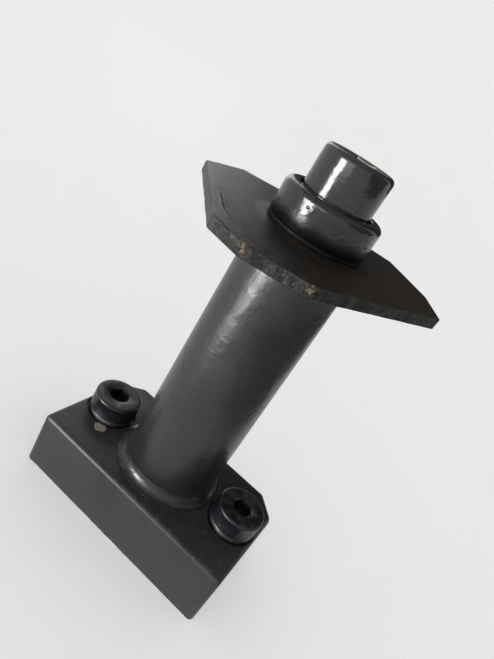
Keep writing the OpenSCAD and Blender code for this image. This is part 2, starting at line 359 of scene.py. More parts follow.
block = brick("painted_base", block_low, block_high)
pick("EDGE", lambda at: abs(at.z - block_top / 2) < near and at.y > 0)
bpy.ops.mesh.bevel(offset=corner_cut, segments=1)
pick("EDGE", lambda at: at.z > near)
bpy.ops.mesh.bevel(offset=block_round, segments=6, profile=0.5)
pick("EDGE", lambda at: at.z < touch)
bpy.ops.mesh.bevel(offset=block_foot_edge, segments=2)
bpy.ops.object.mode_set(mode="OBJECT")
pocket = brick("pocket", (sole_low.x - pocket_gap, sole_low.y - pocket_gap, -over),
               (sole_high.x + pocket_gap, sole_high.y + pocket_gap, sole_high.z))
pick("EDGE", lambda at: abs(at.x) > sole_high.x - near and abs(at.y) > sole_high.y - near)
bpy.ops.mesh.bevel(offset=pocket_corner, segments=10)
bpy.ops.object.mode_set(mode="OBJECT")
cut(block, pocket)
recess_r = flange_high.x + recess_gap
cut(block, turned("recess", [(recess_r, sole_high.z - over),
                             (recess_r, flange_high.z + recess_roof_gap)], 128, False))
bore_r = column_r + pocket_gap
cut(block, turned("bore", [(bore_r, sole_high.z), (bore_r, block_top - spot_chamfer),
                           (bore_r + 2 * spot_chamfer, block_top + spot_chamfer)], 128, False))
for side in (-1, 1):
    spot_r = base_head_r + spot_margin
    spot = turned("spot_face", [
        (base_screw_r + screw_hole_gap, sole_high.z - over),
        (base_screw_r + screw_hole_gap, lock_low.z), (spot_r, lock_low.z),
        (spot_r, block_top - spot_chamfer),
        (spot_r + 2 * spot_chamfer, block_top + spot_chamfer)], 96, False)
    cut(block, moved(spot, side * screw_x))
smooth(block)


def new_group(name, inputs, outputs):
    """An empty node group with those named sockets, and its input and output nodes."""
    group = bpy.data.node_groups.new(name, "ShaderNodeTree")
    for socket, kind, value in inputs:
        made = group.interface.new_socket(socket, in_out="INPUT", socket_type="NodeSocket" + kind)
        made.default_value = value
    for socket, kind in outputs:
        group.interface.new_socket(socket, in_out="OUTPUT", socket_type="NodeSocket" + kind)
    return group, group.nodes.new("NodeGroupInput"), group.nodes.new("NodeGroupOutput")


def use(tree, group, inputs):
    """A node group placed in a material, with that material's own values."""
    return put(tree, "Group", inputs, node_tree=group).outputs


# Enamel film: orange peel and slow ripple, dust nibs caught in the paint, and cloudy
# shade where the coat is thicker.
paint_film, given, result = new_group(
    "paint_film",
    [("Peel Height", "Float", 0.000006), ("Ripple Height", "Float", 0.00003),
     ("Ripple Scale", "Float", 200.0), ("Nib Height", "Float", 0.00004),
     ("Nib Share", "Float", 0.3)],
    [("Height", "Float"), ("Cloud", "Float")])
at = put(paint_film, "TexCoord", {}).outputs["Object"]
peel = put(paint_film, "TexNoise", {"Vector": at, "Scale": 1100.0, "Detail": 2.0})
ripple = put(paint_film, "TexNoise", {"Vector": at, "Scale": given.outputs["Ripple Scale"],
                                      "Detail": 2.0, "Distortion": 0.4})
cloud = put(paint_film, "TexNoise", {"Vector": at, "Scale": 60.0, "Detail": 5.0,
                                     "Roughness": 0.55})
cells = put(paint_film, "TexVoronoi", {"Vector": at, "Scale": 420.0, "Randomness": 1.0})
rare = put(paint_film, "Math", {0: cells.outputs["Color"], 1: given.outputs["Nib Share"]},
           operation="LESS_THAN").outputs[0]
nib = times(paint_film, faded(paint_film, cells.outputs["Distance"], 0.22, 0.04), rare)
height = plus(paint_film, times(paint_film, peel.outputs["Fac"], given.outputs["Peel Height"]),
              times(paint_film, ripple.outputs["Fac"], given.outputs["Ripple Height"]))
height = plus(paint_film, height, times(paint_film, nib, given.outputs["Nib Height"]))
paint_film.links.new(height, result.inputs["Height"])
paint_film.links.new(faded(paint_film, cloud.outputs["Fac"], 0.3, 0.7), result.inputs["Cloud"])

# Workshop dust that has settled on what faces up.
settled_dust, given, result = new_group(
    "settled_dust", [("Amount", "Float", 0.3)], [("Mask", "Float")])
facing = put(settled_dust, "SeparateXYZ",
             {0: put(settled_dust, "NewGeometry", {}).outputs["Normal"]}).outputs["Z"]
grit = put(settled_dust, "TexNoise", {"Vector": put(settled_dust, "TexCoord", {}).outputs["Object"],
                                      "Scale": 500.0, "Detail": 6.0, "Roughness": 0.65})
mask = times(settled_dust, faded(settled_dust, facing, 0.3, 0.95),
             faded(settled_dust, grit.outputs["Fac"], 0.45, 0.75))
settled_dust.links.new(times(settled_dust, mask, given.outputs["Amount"]), result.inputs["Mask"])


def enamel(name, dark, light, gloss, film, dust, specular=0.5):
    """Enamel between two shades, with its film's own heights and a share of dust."""
    material, tree, shader = new_material(name)
    coat = use(tree, paint_film, film)
    lying = use(tree, settled_dust, {"Amount": dust})["Mask"]
    shade = blended(tree, coat["Cloud"], (*dark, 1), (*light, 1))
    shade = blended(tree, lying, shade, (0.16, 0.15, 0.13, 1))
    tree.links.new(shade, shader.inputs["Base Color"])
    rough = faded(tree, coat["Cloud"], 0, 1, gloss, gloss + 0.06)
    tree.links.new(plus(tree, rough, times(tree, lying, 0.5)), shader.inputs["Roughness"])
    bump = put(tree, "Bump", {"Height": coat["Height"], "Distance": 1.0})
    tree.links.new(bump.outputs["Normal"], shader.inputs["Normal"])
    shader.inputs["Specular IOR Level"].default_value = specular
    return material, tree, shader


# How near a point is to an edge of a box: the middle one of its three distances inwards.
box_edges, given, result = new_group(
    "box_edges", [("Centre", "Vector", (0, 0, 0)), ("Half", "Vector", (1, 1, 1)),
                  ("Reach", "Float", 0.001)], [("Mask", "Float")])
at = put(box_edges, "TexCoord", {}).outputs["Object"]
off = put(box_edges, "VectorMath", {0: at, 1: given.outputs["Centre"]}, operation="SUBTRACT")
off = put(box_edges, "VectorMath", {0: off.outputs[0]}, operation="ABSOLUTE")
inward = put(box_edges, "VectorMath", {0: given.outputs["Half"], 1: off.outputs[0]},
             operation="SUBTRACT")
inward = put(box_edges, "SeparateXYZ", {0: inward.outputs[0]}).outputs
lesser = put(box_edges, "Math", {0: inward["X"], 1: inward["Y"]}, operation="MINIMUM").outputs[0]
greater = put(box_edges, "Math", {0: inward["X"], 1: inward["Y"]}, operation="MAXIMUM").outputs[0]
capped = put(box_edges, "Math", {0: greater, 1: inward["Z"]}, operation="MINIMUM").outputs[0]
middle = put(box_edges, "Math", {0: lesser, 1: capped}, operation="MAXIMUM").outputs[0]
box_edges.links.new(faded(box_edges, middle, given.outputs["Reach"], 0.0), result.inputs["Mask"])


def bare(tree, shader, mask, metal=(0.42, 0.41, 0.39), rough=0.3):
    """Lets bare metal through the finish where the mask is 1."""
    under = shader.inputs["Base Color"].links[0].from_socket
    tree.links.new(blended(tree, mask, under, (*metal, 1)), shader.inputs["Base Color"])
    tree.links.new(mask, shader.inputs["Metallic"])
    under = shader.inputs["Roughness"].links[0].from_socket
    step = put(tree, "Mix", {0: mask, 2: under, 3: rough}, data_type="FLOAT")
    tree.links.new(step.outputs[0], shader.inputs["Roughness"])


def chipped(tree, mask, scale, keep):
    """Breaks a mask up into ragged chips; keep is how much of it stays."""
    at = put(tree, "TexCoord", {}).outputs["Object"]
    ragged = put(tree, "TexNoise", {"Vector": at, "Scale": scale, "Detail": 5.0,
                                    "Roughness": 0.7}).outputs["Fac"]
    return faded(tree, plus(tree, mask, ragged), 1.5 - keep, 1.56 - keep)


base_enamel, tree, shader = enamel(
    "base_enamel", (0.014, 0.014, 0.0136), (0.021, 0.021, 0.0202), 0.36,
    {"Peel Height": 0.000005, "Ripple Height": 0.00005, "Ripple Scale": 260.0,
     "Nib Height": 0.00003, "Nib Share": 0.12}, 0.12, 0.42)
edges = use(tree, box_edges, {"Centre": (block_low + block_high) / 2,
                              "Half": (block_high - block_low) / 2, "Reach": 0.0012})["Mask"]
bare(tree, shader, times(tree, chipped(tree, edges, 420.0, 0.12), 0.7))
# A ragged pale cream patch on the block's top beside the left screw
patch_inward = 0.0029
patch_forward = 0.0078
patch_at = (patch_inward - screw_x, -patch_forward, block_top)
at = put(tree, "TexCoord", {}).outputs["Object"]
away = put(tree, "VectorMath", {0: at, 1: patch_at}, operation="DISTANCE").outputs["Value"]
patch_r = 0.0032
patch_core = 0.0006
pale_patch = times(tree, chipped(tree, faded(tree, away, patch_r, patch_core), 700.0, 0.42), 0.8)
# The pale cream colour of the patch, blended over the enamel
under = shader.inputs["Base Color"].links[0].from_socket
tree.links.new(blended(tree, pale_patch, under, (0.26, 0.23, 0.18, 1)), shader.inputs["Base Color"])
block.data.materials.append(base_enamel)
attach(block, "base")
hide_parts("base_block")


# Column
# A length of thick steel tube with its ends faced, swinging in the base block's bore,
# enamelled green-grey.
bore = -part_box("head_plug")[0].x
end_round = 0.0004
column = turned("painted_column", [
    (column_r, column_low.z), (column_r, column_high.z), (bore, column_high.z),
    (bore, column_low.z)], 160)
finish_with(column, "BEVEL", width=end_round, segments=3, limit_method="ANGLE")
smooth(column)
column_enamel, tree, shader = enamel(
    "column_enamel", (0.0115, 0.0135, 0.0115), (0.017, 0.0195, 0.017), 0.27,
    {"Peel Height": 0.00001, "Ripple Height": 0.00017, "Ripple Scale": 300.0,
     "Nib Height": 0.00005, "Nib Share": 0.12}, 0.15)
column.data.materials.append(column_enamel)
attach(column, "column")
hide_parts("column_tube")


# Foot ring
# A flared ring shrunk on the column's foot, its hollow curve running out on the block,
# painted together with the column.
ring_low, ring_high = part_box("foot_ring")
flare_steps = 8
top_lip = 0.00025
rim_h = 0.0005
shrink = 0.00002
out = ring_high.x - column_r - top_lip
rise = ring_high.z - ring_low.z - rim_h
flare = [(ring_high.x - out * math.sin(a), ring_low.z + rim_h + rise * (1 - math.cos(a)))
         for a in [math.pi / 2 * i / flare_steps for i in range(flare_steps + 1)]]
foot = turned("painted_foot_ring",
              [(column_r - shrink, ring_low.z), (ring_high.x, ring_low.z)]
              + flare + [(column_r - shrink, ring_high.z)], 160)
smooth(foot)
foot.data.materials.append(column_enamel)
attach(foot, "column")
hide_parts("foot_ring")


# Base screws
# Two low-head socket screws in black oxide, their heads finely knurled, on the block's
# long centre line either side of the column.
def socket_screw(name, tip_z, shank_r, head_z, head_r, top_z, edge, key, key_depth, knurl):
    """A cap screw on the axis: chamfered shank, rounded head and hexagon socket."""
    sides = 144
    tip_chamfer = 0.0007
    head_chamfer = 0.0003
    knurl_low = head_z + 0.0006
    knurl_end = 0.0001
    mouth_gap = 0.00015
    arc = [(head_r - edge + edge * math.cos(a), top_z - edge + edge * math.sin(a))
           for a in [math.radians(d) for d in (18, 36, 54, 72, 90)]]
    side_high = top_z - edge
    knurl_high = side_high - 0.0003
    rings = [(shank_r - tip_chamfer, tip_z), (shank_r, tip_z + tip_chamfer),
             (shank_r, head_z), (head_r - head_chamfer, head_z),
             (head_r, head_z + head_chamfer)]
    if knurl:
        rings += [(head_r, knurl_low), (head_r - knurl, knurl_low + knurl_end),
                  (head_r - knurl, knurl_high - knurl_end), (head_r, knurl_high)]
    rings += [(head_r, side_high)] + arc
    rings += [(head_r - edge - head_chamfer, top_z)]
    screw = turned(name, rings, sides, closed=False)
    if knurl:
        for vertex in screw.data.vertices:
            out = vertex.co.xy.length
            odd = round(math.atan2(vertex.co.y, vertex.co.x) / (2 * math.pi / sides)) % 2
            if abs(out - head_r + knurl) < touch and odd:
                vertex.co.xy *= head_r / out
    bpy.ops.object.select_all(action="DESELECT")
    bpy.ops.mesh.primitive_cylinder_add(vertices=6, radius=key / math.sqrt(3),
                                        depth=key_depth + over,
                                        location=(0, 0, top_z - key_depth / 2 + over / 2),
                                        rotation=(0, 0, math.radians(30)))
    hexagon = bpy.context.object
    bpy.ops.object.transform_apply(location=True, rotation=True, scale=True)
    cut(screw, hexagon)
    mouth_r = key / math.sqrt(3) + mouth_gap
    mouth_deep = 0.0004
    mouth_over = 0.0002
    cut(screw, turned("mouth", [
        (mouth_r - 2 * mouth_deep, top_z - mouth_deep), (mouth_r, top_z),
        (mouth_r + 2 * mouth_over, top_z + mouth_over)], 72, False))
    return screw


base_head_round = 0.0006
base_key = 0.005
base_key_depth = 0.003
knurl_depth = 0.00008
black_oxide, tree, shader = new_material("black_oxide")
at = put(tree, "TexCoord", {}).outputs["Object"]
blotch = put(tree, "TexNoise", {"Vector": at, "Scale": 320.0, "Detail": 5.0}).outputs["Fac"]
fine = put(tree, "TexNoise", {"Vector": at, "Scale": 3000.0, "Detail": 2.0}).outputs["Fac"]
lying = use(tree, settled_dust, {"Amount": 0.25})["Mask"]
shade = blended(tree, blotch, (0.0025, 0.0025, 0.004, 1), (0.008, 0.008, 0.012, 1))
tree.links.new(blended(tree, lying, shade, (0.11, 0.10, 0.09, 1)), shader.inputs["Base Color"])
tree.links.new(plus(tree, faded(tree, blotch, 0.3, 0.7, 0.24, 0.4), times(tree, lying, 0.4)),
               shader.inputs["Roughness"])
height = times(tree, fine, 0.000004)
tree.links.new(put(tree, "Bump", {"Height": height, "Distance": 1.0}).outputs["Normal"],
               shader.inputs["Normal"])
for side, body in ((-1, "left_screw"), (1, "right_screw")):
    screw = socket_screw("black_" + body, screw_low.z, base_screw_r, lock_high.z, base_head_r,
                         screw_high.z, base_head_round, base_key, base_key_depth, knurl_depth)
    screw = moved(screw, side * screw_x)
    smooth(screw, 28)
    screw.data.materials.append(black_oxide)
    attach(screw, body)
    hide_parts("base_screw_left" if side < 0 else "base_screw_right")


# Spring washers
# Split rings of square spring wire, zinc plated and gone dull, lying in the spot faces
# under the screw heads.
def copied(node, name):
    """A piece with a CAD node's own shape, its loose triangles joined up."""
    bpy.ops.object.select_all(action="DESELECT")
    source = frame["nodes"][node]
    bpy.context.view_layer.objects.active = source
    source.select_set(True)
    bpy.ops.object.duplicate()
    piece = bpy.context.object
    piece.name = name
    bpy.ops.object.parent_clear(type="CLEAR_KEEP_TRANSFORM")
    bpy.ops.object.mode_set(mode="EDIT")
    bpy.ops.mesh.select_all(action="SELECT")
    bpy.ops.mesh.remove_doubles(threshold=touch)
    bpy.ops.mesh.dissolve_limited(angle_limit=math.radians(0.5))
    bpy.ops.object.mode_set(mode="OBJECT")
    piece.data.materials.clear()
    return piece


def plated(name, dark, light, rough, grain_scale, grain_height):
    """Bare or plated metal, cloudy and finely grained."""
    material, tree, shader = new_material(name)
    at = put(tree, "TexCoord", {}).outputs["Object"]
    blotch = put(tree, "TexNoise", {"Vector": at, "Scale": 260.0, "Detail": 6.0,
                                    "Roughness": 0.6}).outputs["Fac"]
    fine = put(tree, "TexNoise", {"Vector": at, "Scale": grain_scale,
                                  "Detail": 2.0}).outputs["Fac"]
    tree.links.new(blended(tree, faded(tree, blotch, 0.3, 0.7), (*dark, 1), (*light, 1)),
                   shader.inputs["Base Color"])
    tree.links.new(faded(tree, blotch, 0.25, 0.75, rough, rough + 0.15),
                   shader.inputs["Roughness"])
    tree.links.new(put(tree, "Bump", {"Height": times(tree, fine, grain_height),
                                      "Distance": 1.0}).outputs["Normal"],
                   shader.inputs["Normal"])
    shader.inputs["Metallic"].default_value = 1.0
    return material


wire_round = 0.00015
zinc_plate = plated("zinc_plate", (0.10, 0.10, 0.11), (0.20, 0.20, 0.21), 0.36, 2500.0,
                    0.000003)
for side in ("left", "right"):
    washer = copied("spring_washer_" + side, "zinc_washer_" + side)
    finish_with(washer, "BEVEL", width=wire_round, segments=2, limit_method="ANGLE",
                angle_limit=math.radians(40))
    smooth(washer)
    washer.data.materials.append(zinc_plate)
    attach(washer, side + "_washer")
    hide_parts("spring_washer_" + side)


# Tool plate
# Flame-cut from 3 mm plate: three blunt lobes with scalloped edges, a fold of dross left
# along one edge, thin dark paint chipped to rust at two corners.
plate_low, plate_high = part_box("tool_plate")
bush_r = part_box("plate_bush")[1].x
washer_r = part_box("thrust_washer")[1].x
plate_middle_z = (plate_low.z + plate_high.z) / 2
blank_r = 0.03
corner_round = 0.0005
rim_round = 0.00028
corners = {(round(v.co.x, 6), round(v.co.y, 6))
           for v in frame["nodes"]["tool_plate"].data.vertices
           if v.co.xy.length > 2 * bush_r}
corners = sorted(corners, key=lambda c: math.atan2(c[1], c[0]))
bpy.ops.object.select_all(action="DESELECT")
bpy.ops.mesh.primitive_circle_add(vertices=len(corners), radius=blank_r, fill_type="NGON",
                                  location=(0, 0, plate_low.z))
plate = bpy.context.object
plate.name = "flame_cut_plate"
bpy.ops.object.transform_apply(location=True, rotation=True, scale=True)
ordered = sorted(plate.data.vertices, key=lambda v: math.atan2(v.co.y, v.co.x))
for vertex, corner in zip(ordered, corners):
    vertex.co.xy = corner
bpy.ops.object.mode_set(mode="EDIT")
bpy.ops.mesh.select_all(action="SELECT")
bpy.ops.mesh.extrude_region_move(
    TRANSFORM_OT_translate={"value": (0, 0, plate_high.z - plate_low.z)})
bpy.ops.mesh.select_all(action="SELECT")
bpy.ops.mesh.normals_make_consistent(inside=False)
pick("EDGE", lambda at: abs(at.z - plate_middle_z) < near)
bpy.ops.mesh.bevel(offset=corner_round, segments=3)
pick("EDGE", lambda at: abs(at.z - plate_middle_z) > near)
bpy.ops.mesh.bevel(offset=rim_round, segments=3)


def slice_all(normal, start, end, pitch):
    """Cuts the whole mesh by planes across the normal, a pitch apart."""
    for i in range(int((end - start) / pitch) + 1):
        bpy.ops.mesh.select_all(action="SELECT")
        place = [n * (start + i * pitch) for n in normal]
        bpy.ops.mesh.bisect(plane_co=place, plane_no=normal)


first_slice = 0.0005
slice_pitch = 0.0009
first_layer = 0.0007
last_layer = 0.0003
layer_pitch = 0.00055
slice_all((1, 0, 0), plate_low.x + first_slice, plate_high.x, slice_pitch)
slice_all((0, 1, 0), plate_low.y + first_slice, plate_high.y, slice_pitch)
slice_all((0, 0, 1), plate_low.z + first_layer, plate_high.z - last_layer, layer_pitch)
fold_side = 0.0011
top_within = 1e-5
fold = [(-0.0166, -0.0158), (-0.0115, -0.0224), (-0.0080, -0.0255), (-0.0018, -0.0280),
        (0.0020, -0.0287)]


def off_fold(x, y):
    """Distance from the dross fold, and how far along it that is, from 0 to 1."""
    best = (1, 0)
    for i in range(len(fold) - 1):
        ax, ay = fold[i]
        bx, by = fold[i + 1]
        share = (x - ax) * (bx - ax) + (y - ay) * (by - ay)
        share = min(1, max(0, share / ((bx - ax) ** 2 + (by - ay) ** 2)))
        gap = math.hypot(x - ax - share * (bx - ax), y - ay - share * (by - ay))
        best = min(best, (gap, (i + share) / (len(fold) - 1)))
    return best


for _ in range(2):
    pick("FACE", lambda at: (at.z > plate_high.z - top_within
                             and off_fold(at.x, at.y)[0] < fold_side))
    bpy.ops.mesh.subdivide(number_cuts=1)
bpy.ops.object.mode_set(mode="OBJECT")
cut(plate, turned("bush_hole", [(bush_r, plate_low.z - over), (bush_r, plate_high.z + over)],
                  96, False))


def edge_gap(x, y):
    """Distance inwards from the plate's outline."""
    best = 1
    for i, (ax, ay) in enumerate(corners):
        bx, by = corners[(i + 1) % len(corners)]
        length = math.hypot(bx - ax, by - ay)
        best = min(best, ((bx - ax) * (y - ay) - (by - ay) * (x - ax)) / length)
    return max(0, best)


# The cut edge is scalloped; the top face lies a little low outside the washer, sags,
# falls towards the rim, and the dross stands up along the fold
edge_band = 0.0004
fine_scallop = 0.00009
coarse_scallop = 0.00014
face_drop = 0.00024
drop_ramp = 0.003
face_sag = 0.00004
rim_fall = 0.00006
rim_fall_w = 0.002
dross_h = 0.00024
dross_w = 0.00028
rim = plate.data.attributes.new("rim", "FLOAT", "POINT")
folded = plate.data.attributes.new("folded", "FLOAT", "POINT")
for vertex in plate.data.vertices:
    x, y, z = vertex.co
    gap = edge_gap(x, y)
    off, along = off_fold(x, y)
    rim.data[vertex.index].value = gap
    folded.data[vertex.index].value = off
    if gap < edge_band:
        scallop = mathutils.noise.noise((x * 260, y * 260, z * 90))
        coarse = mathutils.noise.noise((x * 90 + 7, y * 90, z * 60))
        inward = fine_scallop * (1 + scallop) + coarse_scallop * (1 + coarse)
        vertex.co.xy *= 1 - inward / vertex.co.xy.length
    share = (z - plate_middle_z) / (plate_high.z - plate_middle_z)
    if share > 0:
        outside = min(1, max(0, (vertex.co.xy.length - washer_r) / drop_ramp))
        sag = face_sag * (1 + mathutils.noise.noise((x * 70, y * 70, 3)))
        fall = rim_fall * max(0, 1 - gap / rim_fall_w)
        swell = 0.85 + 0.15 * mathutils.noise.noise((along * 9, 0, 5))
        vertex.co.z -= outside * share * (face_drop + sag + fall)
        if gap > edge_band:
            vertex.co.z += dross_h * swell * share * math.exp(-(off / dross_w) ** 2)
smooth(plate, 40)

plate_paint, tree, shader = new_material("plate_paint")
at = put(tree, "TexCoord", {}).outputs["Object"]
across = put(tree, "SeparateXYZ", {0: at}).outputs["X"]
rim_gap = put(tree, "Attribute", {}, attribute_name="rim").outputs["Fac"]
fold_gap = put(tree, "Attribute", {}, attribute_name="folded").outputs["Fac"]
coat = use(tree, paint_film, {"Peel Height": 0.000004, "Ripple Height": 0.00003,
                              "Nib Height": 0.00004, "Nib Share": 0.3})
lying = use(tree, settled_dust, {"Amount": 0.2})["Mask"]
up = put(tree, "SeparateXYZ", {0: put(tree, "NewGeometry", {}).outputs["Normal"]}).outputs["Z"]
flat = faded(tree, put(tree, "Math", {0: up}, operation="ABSOLUTE").outputs[0], 0.3, 0.9)
# Streaks the torch leaves down the cut edge, slanting a little
slant = put(tree, "Mapping", {"Vector": at, "Rotation": (0.25, 0.2, 0),
                              "Scale": (1900, 1900, 140)}).outputs[0]
streaks = put(tree, "TexNoise", {"Vector": slant, "Scale": 1.0, "Detail": 3.0}).outputs["Fac"]
speckle = put(tree, "TexNoise", {"Vector": at, "Scale": 1500.0, "Detail": 4.0,
                                 "Roughness": 0.7}).outputs["Fac"]
# Scratches across the face: thin bands of a stretched wave, kept in patches
scratch_way = put(tree, "Mapping", {"Vector": at, "Rotation": (0, 0, 0.9),
                                    "Scale": (180, 2600, 1)}).outputs[0]
scratch = put(tree, "TexNoise", {"Vector": scratch_way, "Scale": 1.0, "Detail": 2.0,
                                 "Distortion": 0.6}).outputs["Fac"]
patch = put(tree, "TexNoise", {"Vector": at, "Scale": 90.0, "Detail": 2.0}).outputs["Fac"]
scratch = times(tree, faded(tree, scratch, 0.66, 0.72), faded(tree, patch, 0.5, 0.62))
# Short curled scores on the inner side of the fold, their grooves darkened to near black as painted
# shade
curl = put(tree, "TexNoise", {"Vector": at, "Scale": 620.0, "Detail": 1.0,
                              "Distortion": 2.2}).outputs["Fac"]
curl = put(tree, "Math", {0: curl, 1: 0.5}, operation="SUBTRACT").outputs[0]
curl = put(tree, "Math", {0: curl}, operation="ABSOLUTE").outputs[0]
curl = times(tree, faded(tree, curl, 0.03, 0.006), faded(tree, fold_gap, 0.0052, 0.003))
curl = times(tree, curl, faded(tree, patch, 0.40, 0.46))
face_shade = blended(tree, coat["Cloud"], (0.006, 0.0045, 0.0033, 1),
                     (0.013, 0.0102, 0.0078, 1))
# Oil and rust bloom tint the right half brown
bloom = faded(tree, across, 0.004, 0.020)
bloom = times(tree, bloom, faded(tree, patch, 0.36, 0.6, 0.35, 1.0))
face_shade = blended(tree, bloom, face_shade, (0.020, 0.0115, 0.006, 1))
# Painted shade: the scores' grooves go near black
face_shade = blended(tree, curl, face_shade, (0.001, 0.001, 0.001, 1))
face_shade = blended(tree, times(tree, scratch, 0.5), face_shade, (0.09, 0.085, 0.075, 1))
# The cut edge: streaked, and smeared on its left side
left_side = faded(tree, across, -0.004, -0.011)
smear = put(tree, "TexNoise", {"Vector": at, "Scale": 420.0, "Detail": 5.0,
                               "Roughness": 0.65}).outputs["Fac"]
worn = blended(tree, left_side, faded(tree, smear, 0.4, 0.62), streaks)
edge_shade = blended(tree, worn, (0.006, 0.0062, 0.0052, 1), (0.026, 0.0265, 0.0235, 1))
edge_shade = blended(tree, faded(tree, speckle, 0.68, 0.74), edge_shade, (0.16, 0.13, 0.10, 1))
shade = blended(tree, flat, edge_shade, face_shade)
shade = blended(tree, lying, shade, (0.12, 0.10, 0.08, 1))
# Rust and bare steel where the paint is knocked off two corners and the rim between
knock_z = plate_high.z - 0.001
knocks = 0.0
for corner, reach in ((corners[1], 0.0052), (corners[2], 0.0046)):
    away = put(tree, "VectorMath", {0: at, 1: (*corner, knock_z)},
               operation="DISTANCE").outputs["Value"]
    knocks = plus(tree, faded(tree, away, reach, 0.0006), knocks)
near_rim = faded(tree, rim_gap, 0.0014, 0.0002)
chips = chipped(tree, times(tree, knocks, near_rim), 1300.0, 0.06)
rim_chips = chipped(tree, near_rim, 1100.0, -0.12)
chips = put(tree, "Math", {0: chips, 1: rim_chips}, operation="MAXIMUM").outputs[0]
rusty = put(tree, "TexNoise", {"Vector": at, "Scale": 1500.0, "Detail": 3.0}).outputs["Fac"]
rust = blended(tree, faded(tree, rusty, 0.45, 0.6), (0.036, 0.022, 0.011, 1),
               (0.17, 0.135, 0.095, 1))
tree.links.new(blended(tree, chips, shade, rust), shader.inputs["Base Color"])
tree.links.new(times(tree, chips, faded(tree, rusty, 0.58, 0.66)), shader.inputs["Metallic"])
tree.links.new(plus(tree, faded(tree, flat, 0, 1, 0.36, 0.3), times(tree, speckle, 0.25)),
               shader.inputs["Roughness"])
height = plus(tree, coat["Height"], times(tree, speckle, 0.00003))
cut_face = faded(tree, flat, 0, 1, 1, 0)
height = plus(tree, height, times(tree, times(tree, worn, cut_face), 0.0002))
height = plus(tree, height, times(tree, scratch, -0.00003))
height = plus(tree, height, times(tree, curl, -0.0005))
height = plus(tree, height, times(tree, chips, -0.00005))
tree.links.new(put(tree, "Bump", {"Height": height, "Distance": 1.0}).outputs["Normal"],
               shader.inputs["Normal"])
shader.inputs["Specular IOR Level"].default_value = 0.32
plate.data.materials.append(plate_paint)
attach(plate, "plate")
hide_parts("tool_plate")


# Thrust washer
# A hardened steel washer lying loose between the plate and the collar, its edges rounded,
# black; its dull near-black colour also serves as painted shade under the collar.
thrust_low, thrust_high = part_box("thrust_washer")
thrust_r = washer_r - 0.0001
thrust_bore = bush_r - 0.0013
thrust_round = 0.0002
thrust = turned("black_thrust_washer", [
    (thrust_r, thrust_low.z), (thrust_r, thrust_high.z),
    (thrust_bore, thrust_high.z), (thrust_bore, thrust_low.z)], 128)
finish_with(thrust, "BEVEL", width=thrust_round, segments=2, limit_method="ANGLE")
smooth(thrust)
washer_black_and_shade, tree, shader = new_material("washer_black_and_shade")
at = put(tree, "TexCoord", {}).outputs["Object"]
film = put(tree, "TexNoise", {"Vector": at, "Scale": 500.0, "Detail": 4.0}).outputs["Fac"]
# Near-black: the washer's own black, made darker as painted shade under the collar
tree.links.new(blended(tree, film, (0.0015, 0.0013, 0.0012, 1), (0.006, 0.005, 0.0045, 1)),
               shader.inputs["Base Color"])
tree.links.new(faded(tree, film, 0.3, 0.7, 0.5, 0.7), shader.inputs["Roughness"])
tree.links.new(put(tree, "Bump", {"Height": times(tree, film, 0.00002),
                                  "Distance": 1.0}).outputs["Normal"], shader.inputs["Normal"])
shader.inputs["Specular IOR Level"].default_value = 0.15
thrust.data.materials.append(washer_black_and_shade)
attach(thrust, "plate")
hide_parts("thrust_washer")


# Clamp collar
# A turned cap with a rounded top edge, bored for the spigot below and pocketed for the
# clamp screw's head above, in thick glossy enamel.
collar_low, collar_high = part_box("clamp_collar")
washer_low, washer_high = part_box("head_washer")
collar_r = collar_high.x
collar_round = 0.0015
foot_chamfer = 0.0002
lip_chamfer = 0.0001
spigot_r = 0.008
spigot_gap = 0.00005
bore_r = spigot_r + spigot_gap
clamp_hole_r = 0.00525
pocket_gap = 0.0006
pocket_r = washer_high.x + pocket_gap
web = 0.002
roof_z = washer_low.z - web
pin_hole_deep = 0.008
arc = [(collar_r - collar_round + collar_round * math.cos(a),
        collar_high.z - collar_round + collar_round * math.sin(a))
       for a in [math.radians(d) for d in range(0, 91, 10)]]
collar = turned("gloss_collar", [
    (collar_r - foot_chamfer, collar_low.z),
    (collar_r, collar_low.z + foot_chamfer)] + arc + [
    (pocket_r + lip_chamfer, collar_high.z), (pocket_r, collar_high.z - lip_chamfer),
    (pocket_r, washer_low.z), (clamp_hole_r, washer_low.z), (clamp_hole_r, roof_z),
    (bore_r, roof_z), (bore_r, collar_low.z)], 160)
pin_low, pin_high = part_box("collar_pin")
bpy.ops.object.select_all(action="DESELECT")
bpy.ops.mesh.primitive_cylinder_add(
    vertices=48, radius=(pin_high.x - pin_low.x) / 2, depth=pin_hole_deep,
    location=(0, pin_high.y, (pin_low.z + pin_high.z) / 2), rotation=(math.radians(90), 0, 0))
pin_hole = bpy.context.object
bpy.ops.object.transform_apply(location=True, rotation=True, scale=True)
cut(collar, pin_hole)
smooth(collar)
gloss_enamel, tree, shader = enamel(
    "gloss_enamel", (0.0085, 0.009, 0.009), (0.0125, 0.0135, 0.0133), 0.13,
    {"Peel Height": 0.000006, "Ripple Height": 0.00011, "Ripple Scale": 520.0,
     "Nib Height": 0.0001, "Nib Share": 0.5}, 0.08)
# Painted shade and painted reflection of the dark plate: the foot of the collar is darkened to near
# black up to an uneven line, and its paint there is made rougher and less glossy
shade_line_wander = 0.0016
shade_top = collar_low.z + 0.0048
shade_full = collar_low.z + 0.0012
at = put(tree, "TexCoord", {}).outputs["Object"]
height = put(tree, "SeparateXYZ", {0: at}).outputs["Z"]
shade_wander = put(tree, "TexNoise", {"Vector": at, "Scale": 130.0, "Detail": 3.0}).outputs["Fac"]
height = plus(tree, height, times(tree, shade_wander, shade_line_wander))
collar_foot_shade = faded(tree, height, shade_top, shade_full)
